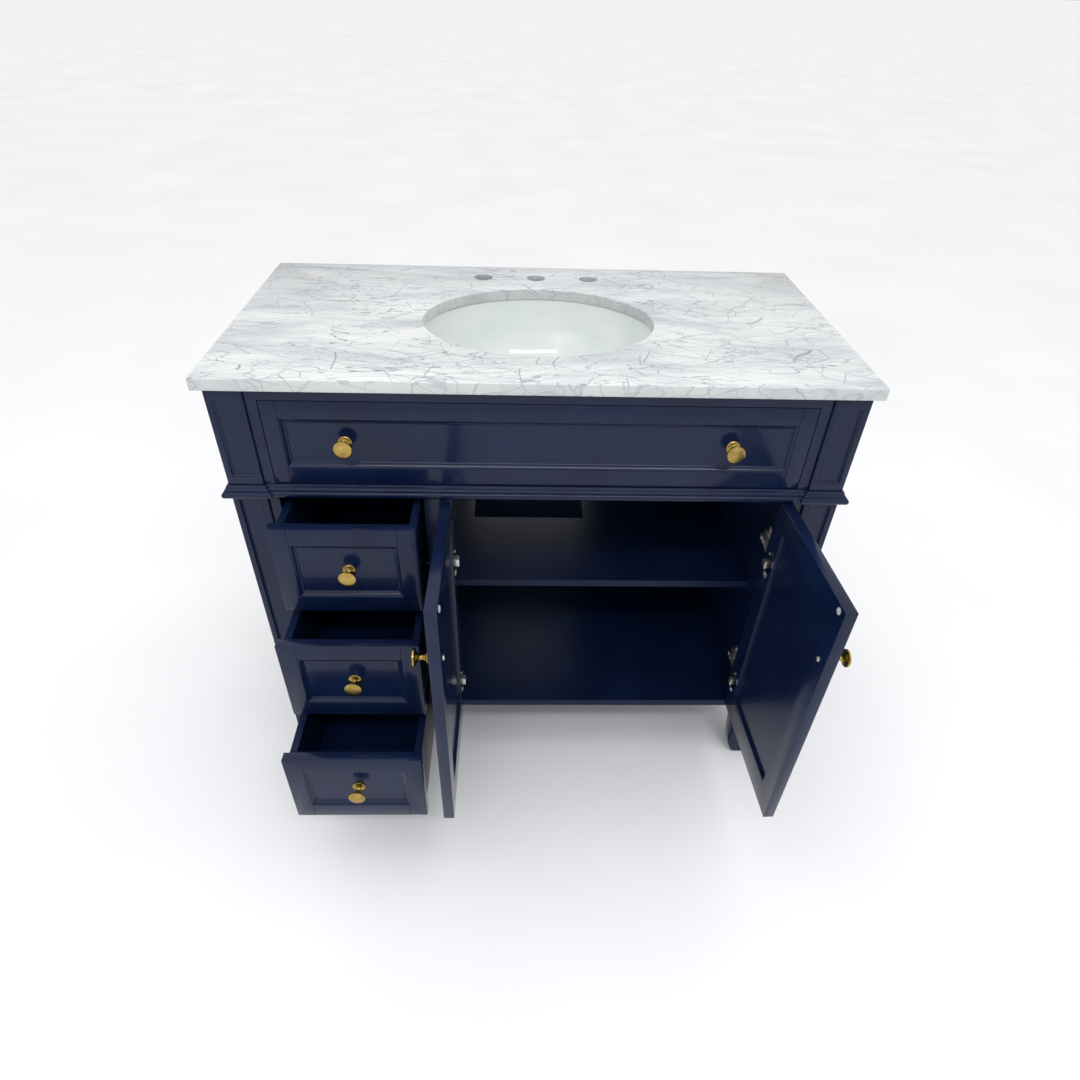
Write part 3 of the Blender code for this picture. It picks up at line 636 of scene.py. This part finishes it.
def makeCups():
    r, lip, ease = hinge["cupRadius"], hinge["lip"], hinge["round"]
    top, bottom = hinge["plate"], -hinge["cupDepth"]
    bore, floor = r - hinge["shell"], bottom + hinge["shell"]
    inside = [(0, floor), (bore - hinge["corner"], floor), (bore, floor + hinge["corner"])]
    rim = [(bore, top - ease), (bore + ease, top), (lip - ease, top), (lip, top - ease), (lip, ease)]
    outside = [(r, ease), (r, bottom + hinge["base"]), (r - hinge["base"], bottom), (0, bottom)]
    for word in ("left", "right"):
        leaf = doors[word]
        side = leaf["side"]
        for level in ("upper", "lower"):
            node = "hinge_cup_%s_%s" % (word, level)
            low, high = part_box(node)
            cup = turned("h" + node.title().replace("_", "")[1:], inside + rim + outside, hinge["steps"])
            half = hinge["wingHalf"]
            for end in (-1, 1):
                inner, outer = sorted((end * (r - hinge["wingSet"]), end * hinge["wing"]))
                wing = block("wing", (-half, inner, hinge["wingSet"]), (half, outer, top - 0.0001),
                             hinge["wingEdge"])
                boolean(cup, wing, "UNION")
            pieces = [cup]
            for end in (-1, 1):
                head = screwHead("wingScrew", hinge["wingScrew"], hinge["screwHigh"])
                where = (0, end * (hinge["wing"] - hinge["screwInset"]), top - hinge["screwSet"])
                pieces.append(place(head, where))
            near, far = sorted((side * hinge["knuckleOut"], -side * hinge["knuckleIn"]))
            half = hinge["knuckleHalf"]
            knuckle = block("knuckle", (near, -half, floor + 0.0002), (far, half, hinge["knuckleHigh"]),
                            hinge["knuckleEdge"])
            startEdit(knuckle)  # its top leans to the open room
            pickVerts(knuckle, lambda v: v.co.z > hinge["leanAbove"])
            bpy.ops.transform.translate(value=(-side * hinge["knuckleLean"], 0, 0))
            endEdit()
            joined(cup.name, pieces + [knuckle])
            x = side * (door["pivotInset"] - door["cupInset"])
            where = (x, leaf["thick"] - door["pivotInset"], (low.z + high.z) / 2)
            place(cup, where, Euler((-pi / 2, 0, 0)))
            swing(cup, leaf)
            smooth(cup, 35)
            finished(cup, "door_%s_leaf" % word, "hinge_nickel", nickel, node)


# each bar: near and far from the wall, front and rear along the arm, half height, eased edge
arm = {"length": 0.040, "flange": (0, 0.0022, 0.012, 0.024, 0.0250, 0.0008),
       "plate": (0, 0.0024, 0, 0.040, 0.0085, 0.0008),
       "saddle": (0.0010, 0.0070, 0.003, 0.034, 0.0062, 0.0012),
       "link": (0.0058, 0.0128, 0.014, 0.030, 0.0055, 0.0014),
       "tip": (0.0066, 0.0140, 0, 0.017, 0.0048, 0.0018),
       "clampScrews": ((0.0105, 0.0030), (0.0240, 0.0034)), "clampHigh": 0.0014, "clampOut": 0.0125,
       "plateScrew": 0.0036, "plateHigh": 0.0016, "plateOut": 0.0020, "plateBack": 0.018,
       "plateRise": 0.0185}


def makeArms():
    for word in ("left", "right"):
        side = doors[word]["side"]
        for level in ("upper", "lower"):
            node = "hinge_mount_%s_%s" % (word, level)
            low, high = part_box(node)
            wall = high.x if side > 0 else low.x
            z = (low.z + high.z) / 2
            front = high.y - arm["length"]
            facing = Euler((0, -side * pi / 2, 0))

            def bar(near, far, y0, y1, half, edge):
                x0, x1 = sorted((wall - side * near, wall - side * far))
                return block("bar", (x0, front + y0, z - half), (x1, front + y1, z + half), edge)

            start = low.y - front  # the link and the tip begin where the arm's box does
            pieces = [bar(*arm["flange"]), bar(*arm["plate"]), bar(*arm["saddle"])]
            near, far, y0, y1, half, edge = arm["link"]
            pieces.append(bar(near, far, start + y0, y1, half, edge))
            near, far, y0, y1, half, edge = arm["tip"]
            pieces.append(bar(near, far, start + y0, start + y1, half, edge))
            for y, radius in arm["clampScrews"]:
                head = screwHead("armScrew", radius, arm["clampHigh"])
                pieces.append(place(head, (wall - side * arm["clampOut"], front + y, z), facing))
            for end in (-1, 1):
                head = screwHead("plateScrew", arm["plateScrew"], arm["plateHigh"])
                rise = end * arm["plateRise"]
                where = (wall - side * arm["plateOut"], front + arm["plateBack"], z + rise)
                pieces.append(place(head, where, facing))
            mount = joined("hingeArm" + word.capitalize() + level.capitalize(), pieces)
            smooth(mount, 35)
            finished(mount, "cabinet", "hinge_nickel", nickel, node)


trim = {"screwRadius": 0.0042, "screwHigh": 0.0023, "screwSet": 0.0012, "domeRadius": 0.0050,
        "domeBase": 0.0012, "domeHigh": 0.0015, "foot": (0.0054, 0.0010), "footRadius": 0.0055,
        "padSet": 0.0014, "padSteps": 32}


def makeTrim():
    for word in ("left", "right"):
        leaf = doors[word]
        low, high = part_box("screw_" + word)
        inward = Vector((-sin(leaf["angle"]), cos(leaf["angle"]), 0))
        facing = Euler((-pi / 2, 0, leaf["angle"]))
        head = screwHead("knobScrew" + word.capitalize(), trim["screwRadius"], trim["screwHigh"])
        place(head, (low + high) / 2 - inward * trim["screwSet"], facing)
        smooth(head, 40)
        finished(head, "door_%s_leaf" % word, "screw_steel", nickel, "screw_" + word)
        low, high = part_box("bumper_" + word)
        dome = [(trim["domeRadius"] * sin(t), trim["domeBase"] + trim["domeHigh"] * cos(t))
                for t in ramp(0, pi / 2, 7)]
        foot = [trim["foot"], (trim["footRadius"], 0), (0, 0)]
        pad = turned("doorBumper" + word.capitalize(), dome + foot, trim["padSteps"])
        place(pad, (low + high) / 2 - inward * trim["padSet"], facing)
        smooth(pad, 40)
        finished(pad, "door_%s_leaf" % word, "bumper_rubber", bumperClear, "bumper_" + word)


makeCups()
makeArms()
makeTrim()
print("hinges and trim done")


post = {"margin": 0.0095, "topMargin": 0.020, "bottomMargin": 0.025, "lowerTop": 0.0065,
        "lowerRise": 0.175, "edge": 0.0010, "openHalf": 0.4225, "taper": 0.016, "flare": 0.014,
        "flareHeight": 0.0175,
        "legHeight": 0.147, "start": 0.024, "rings": (0.019, 0.0145, 0.010, 0.006, 0.0028, 0.0),
        "firstInset": 0.004, "leastFace": 0.003, "softEdge": 0.0008,
        "steps": ((0.0003, 0.0010), (0.0012, 0.0007), (0.0014, 0.0014), (0.0007, 0.0002),
                  (0.0004, 0.0008))}


def recess(obj, x0, x1, z0, z1):  # sinks a panel with these edges into the front face
    startEdit(obj)
    bpy.ops.mesh.select_mode(type="FACE")
    pick(obj, "faces", lambda f: f.normal.y < -0.99 and f.calc_center_median().z > z0
         and f.calc_area() > post["leastFace"])
    bpy.ops.mesh.inset(thickness=post["firstInset"], depth=0)
    face = [f for f in bmesh.from_edit_mesh(obj.data).faces if f.select][0]
    middle = face.calc_center_median()
    corners = [v.co.copy() for v in face.verts]
    for corner in corners:
        target = Vector((x0 if corner.x < middle.x else x1, corner.y, z0 if corner.z < middle.z else z1))
        pickVerts(obj, lambda v: (v.co - corner).length < 1e-6)
        bpy.ops.transform.translate(value=target - corner)
    bpy.ops.mesh.select_mode(type="FACE")

    def isPanel(f):
        centre = f.calc_center_median()
        return f.normal.y < -0.99 and x0 < centre.x < x1 and z0 < centre.z < z1

    pick(obj, "faces", isPanel)
    for inside, drop in post["steps"]:
        bpy.ops.mesh.inset(thickness=inside, depth=-drop)
    endEdit()


def legEdge(z):
    taper = post["taper"] * (1 - z / post["legHeight"])
    return post["openHalf"] + taper + post["flare"] * exp(-z / post["flareHeight"])


def makePilasters():
    for side, word in ((-1, "left"), (1, "right")):
        low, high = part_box("pilaster_upper_" + word)
        upper = block("pilasterUpper" + word.capitalize(), low, high, post["edge"])
        recess(upper, low.x + post["margin"], high.x - post["margin"], low.z + post["bottomMargin"],
               high.z - post["topMargin"])
        smooth(upper, 30)
        finished(upper, "cabinet", "navy_paint", outsidePaint, "pilaster_upper_" + word)
        low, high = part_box("pilaster_lower_" + word)
        start = post["start"]
        lower = block("pilasterLower" + word.capitalize(), (low.x, low.y, start), high, 0)
        inner = low.x if side > 0 else high.x
        startEdit(lower)
        bpy.ops.mesh.select_mode(type="FACE")
        pick(lower, "faces", lambda f: f.normal.z < -0.9)
        last = start
        for z in post["rings"]:
            bpy.ops.mesh.extrude_region_move(TRANSFORM_OT_translate={"value": (0, 0, z - last)})
            last = z
        for z in post["rings"]:  # each ring's inner corners move to the leg's curve
            pickVerts(lower, lambda v: abs(v.co.z - z) < 1e-4 and abs(v.co.x - inner) < 1e-3)
            bpy.ops.transform.translate(value=(side * max(legEdge(z), abs(inner)) - inner, 0, 0))
        endEdit()
        waistLow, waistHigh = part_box("waist_moulding")
        head = high.z - (waistHigh.z - waistLow.z) / 2 - post["lowerTop"]
        recess(lower, low.x + post["margin"], high.x - post["margin"], post["lowerRise"], head)
        mod = lower.modifiers.new("edge", "BEVEL")
        mod.width = post["softEdge"]
        mod.segments = 2
        mod.angle_limit = radians(75)
        applyAll(lower)
        smooth(lower, 30)
        finished(lower, "cabinet", "navy_paint", outsidePaint, "pilaster_lower_" + word)


makePilasters()
print("pilasters done")


def waistProfile(reach, height):  # out and down from the top inner corner: fillet, cove, nose, underside
    fillet = [(0.16, 0), (0.22, 0.02), (0.24, 0.06)]
    cove = [(0.30 + 0.30 * (1 - cos(t)), 0.08 + 0.30 * sin(t)) for t in ramp(0, pi / 2, 7)]
    nose = [(0.60 + 0.40 * sin(t), 0.70 - 0.25 * cos(t)) for t in ramp(0, pi / 2, 8)]
    under = [(0.50 + 0.50 * cos(t), 0.70 + 0.30 * sin(t)) for t in ramp(pi / 12, pi / 2, 7)]
    shape = [(0, 0), *fillet, *cove, *nose, *under, (0, 1)]
    return [(out * reach, down * height) for out, down in shape]


waist = {"gap": 0.0003, "spare": 0.05, "merge": 0.00002}


def makeWaist():  # straight runs, each drawn longer than its wall and cut at 45 degree mitres
    low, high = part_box("waist_moulding")
    gap, spare = waist["gap"], waist["spare"]
    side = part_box("side_panel_right")[1].x + gap
    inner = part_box("pilaster_upper_right")[0].x - gap
    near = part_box("pilaster_upper_right")[0].y - gap
    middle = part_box("face_frame")[0].y - gap
    reach = high.x - side
    profile = waistProfile(reach, high.z - low.z)
    corners = [(-side, high.y), (-side, near), (-inner, near), (-inner, middle),
               (inner, middle), (inner, near), (side, near), (side, high.y)]
    runs = []
    for i, (a, b) in enumerate(zip(corners, corners[1:])):
        a, b = Vector((*a, 0)), Vector((*b, 0))
        along = (b - a).normalized()
        outward = Vector((along.y, -along.x, 0))
        start = a - along * spare
        points = [start + outward * d + Vector((0, 0, high.z - drop)) for d, drop in profile]
        run = drawLine("run%d" % i, points, close=True)
        bpy.ops.mesh.select_all(action="SELECT")
        step = along * ((b - a).length + 2 * spare)
        bpy.ops.mesh.extrude_region_move(TRANSFORM_OT_translate={"value": step})
        for at, end, there in ((a, -1, i > 0), (b, 1, i < len(corners) - 2)):
            normal = along * end
            if there:  # the neighbour turns out or in, and the mitre leans with it
                other = Vector((*(corners[i - 1] if end < 0 else corners[i + 2]), 0)) - at
                normal += outward if other.dot(outward) > 0 else -outward
            bpy.ops.mesh.select_all(action="SELECT")
            bpy.ops.mesh.bisect(plane_co=at, plane_no=normal, clear_outer=True, clear_inner=False,
                                use_fill=not there)
        endEdit()
        runs.append(run)
    strip = joined("waistMoulding", runs)
    startEdit(strip)
    bpy.ops.mesh.select_all(action="SELECT")
    bpy.ops.mesh.remove_doubles(threshold=waist["merge"])
    bpy.ops.mesh.normals_make_consistent(inside=False)
    endEdit()
    smooth(strip, 30)
    finished(strip, "cabinet", "navy_paint", outsidePaint, "waist_moulding")


makeWaist()
print("waist moulding done")


# each light: where it stands, what it aims at, width and height, watts, colour
studio = {"floorSize": 600, "horizon": 0.70, "overhead": 1.10,
          "ceilingPanel": ((0.0, -0.3, 3.0), (0, 0, 0.6), (2.6, 1.4), 9, "FFFFFF"),
          "frontPanel": ((-1.6, -2.8, 2.2), (0, 0, 0.5), (1.6, 1.2), 5, "F6F8FF"),
          "highStrip": ((0.2, -2.3, 3.2), (0, 0, 0.7), (2.4, 0.28), 32, "F2F5FF")}


def makeFloor():
    bpy.ops.mesh.primitive_plane_add(size=studio["floorSize"], location=(0, 0, 0))
    floor = bpy.context.object
    floor.name = "studioFloor"
    mat, shader = newMaterial("paintedStudioFloor", "F4F4F4", 0.75)  # rolled matt white, faint clouds
    where = addNode(mat, "TexCoord", {}).outputs["Object"]
    cloud = addNode(mat, "TexNoise", {"Vector": where, "Scale": 1.5, "Detail": 2.0}).outputs["Fac"]
    tone = setRamp(addNode(mat, "ValToRGB", {"Fac": cloud}), (0.3, "F2F2F2"), (0.7, "F7F7F7"))
    connect(mat, tone.outputs["Color"], shader.inputs["Base Color"])
    floor.data.materials.append(mat)


def addLight(name, where, aim, size, power, color):
    data = bpy.data.lights.new(name, "AREA")
    data.shape = "RECTANGLE"
    data.size, data.size_y = size
    data.energy = power
    data.color = hexColor(color)[:3]
    obj = bpy.data.objects.new(name, data)
    bpy.context.scene.collection.objects.link(obj)
    obj.location = where
    obj.rotation_euler = (Vector(aim) - Vector(where)).to_track_quat("-Z", "Y").to_euler()


def makeStudio():
    world = bpy.data.worlds.new("studio")
    bpy.context.scene.world = world
    world.use_nodes = True
    glow = world.node_tree.nodes["Background"]
    glow.inputs["Color"].default_value = hexColor("FEFEFF")
    around = addNode(world, "TexCoord", {}).outputs["Generated"]
    upward = addNode(world, "SeparateXYZ", {"Vector": around})
    level = addNode(world, "MapRange", {"Value": upward.outputs["Z"], "From Min": 0.0, "From Max": 0.9,
                                        "To Min": studio["horizon"], "To Max": studio["overhead"]})
    connect(world, level.outputs["Result"], glow.inputs["Strength"])
    for name in ("ceilingPanel", "frontPanel", "highStrip"):
        addLight(name, *studio[name])
    bpy.context.scene.view_settings.view_transform = "Standard"
    bpy.context.scene.view_settings.look = "None"


view = {"side": -0.0451, "front": 1.567, "height": 1.2916, "yaw": -2.487, "pitch": 48.59, "roll": 1.925,
        "lens": 24.26, "sensor": 36, "shiftX": 0.0049, "shiftY": 0.0735}


def makeCamera():
    data = bpy.data.cameras.new("camera")
    data.lens = view["lens"]
    data.sensor_width = view["sensor"]
    data.shift_x, data.shift_y = view["shiftX"], view["shiftY"]
    obj = bpy.data.objects.new("camera", data)
    bpy.context.scene.collection.objects.link(obj)
    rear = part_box("countertop")[1].y
    obj.location = (view["side"], rear - view["front"], view["height"])
    level = Euler((radians(view["pitch"]), 0, radians(view["yaw"]))).to_matrix()
    obj.rotation_euler = (level @ Euler((0, 0, radians(view["roll"]))).to_matrix()).to_euler()
    bpy.context.scene.camera = obj


makeFloor()
makeStudio()
makeCamera()
print("studio done")
